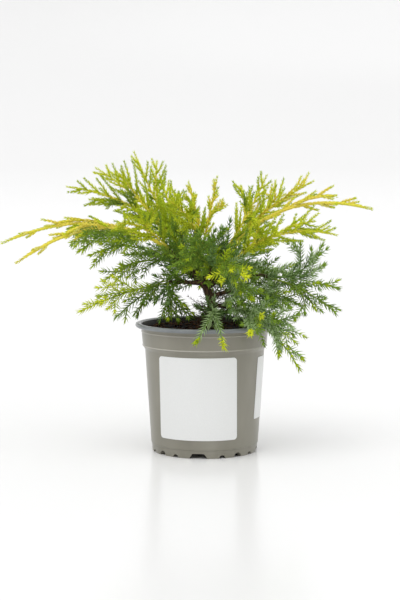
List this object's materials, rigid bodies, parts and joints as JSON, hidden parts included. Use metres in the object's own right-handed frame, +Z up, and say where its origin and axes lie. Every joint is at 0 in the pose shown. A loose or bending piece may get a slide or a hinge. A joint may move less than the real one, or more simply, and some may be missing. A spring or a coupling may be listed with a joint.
{
  "type": "potted king of spring juniper",
  "caption": "Young spreading juniper with gold upper sprays and blue-green lower sprays, in a round nursery pot that stands on its foot ring.",
  "frame": {"origin": "middle of the pot's flat underside, where it stands", "axes": "+Z up along the pot's axis, -Y the labelled side, +X to the right as the label is faced"},
  "size_m": [0.3448, 0.2242, 0.2795],
  "materials": {
    "pot_plastic": "satin grey thermoformed plastic",
    "growing_medium": "moist dark peat with bits of bark",
    "label_paper": "smooth white label, bare",
    "bark": "thin brown bark, flaking at the foot",
    "foliage_gold": "waxy golden scale leaves",
    "foliage_lime": "waxy lime scale leaves",
    "foliage_green": "soft green needles",
    "foliage_deep": "deep green needles",
    "foliage_blue": "blue-green needles with a pale bloom"
  },
  "bodies": {
    "root": {"pot": "pot_plastic", "soil": "growing_medium", "front_label": "label_paper", "side_label": "label_paper", "trunk": "bark", "bough_left_upper": "bark", "bough_left_reach": "bark", "bough_left_low": "bark", "bough_left_back": "bark", "bough_centre": "bark", "bough_right_upper": "bark", "bough_right_reach": "bark", "bough_right_low": "bark", "bough_right_front": "bark", "bough_right_inner": "bark", "bough_front_low": "bark", "bough_front_upper": "bark", "bough_back_left": "bark", "bough_back_right": "bark", "foliage_left_crest": "foliage_lime", "foliage_left_fan": "foliage_lime", "foliage_left_feather": "foliage_gold", "foliage_left_reach": "foliage_gold", "foliage_left_whip": "foliage_gold", "foliage_left_front": "foliage_lime", "foliage_left_under": "foliage_green", "foliage_left_mid": "foliage_deep", "foliage_left_low": "foliage_green", "foliage_left_hanging": "foliage_blue", "foliage_inner_hanging": "foliage_blue", "foliage_centre_crest": "foliage_gold", "foliage_centre_left": "foliage_gold", "foliage_front_left": "foliage_lime", "foliage_right_crest": "foliage_lime", "foliage_right_fan": "foliage_gold", "foliage_right_whip": "foliage_gold", "foliage_right_reach": "foliage_lime", "foliage_right_front": "foliage_green", "foliage_right_mid": "foliage_blue", "foliage_right_low": "foliage_blue", "foliage_right_drop": "foliage_deep", "foliage_right_side": "foliage_deep", "foliage_right_inner": "foliage_blue", "foliage_right_hanging": "foliage_green", "foliage_right_low_front": "foliage_blue", "foliage_front_right": "foliage_lime", "foliage_front_sprig": "foliage_blue", "foliage_front_gold": "foliage_gold", "foliage_front_mid": "foliage_green", "foliage_front_inner": "foliage_blue", "foliage_back_crest": "foliage_lime", "foliage_back_left": "foliage_lime", "foliage_back_reach": "foliage_gold", "foliage_back_right": "foliage_lime", "foliage_back_low_right": "foliage_blue", "foliage_back_low_left": "foliage_deep"}
  },
  "joints": []
}
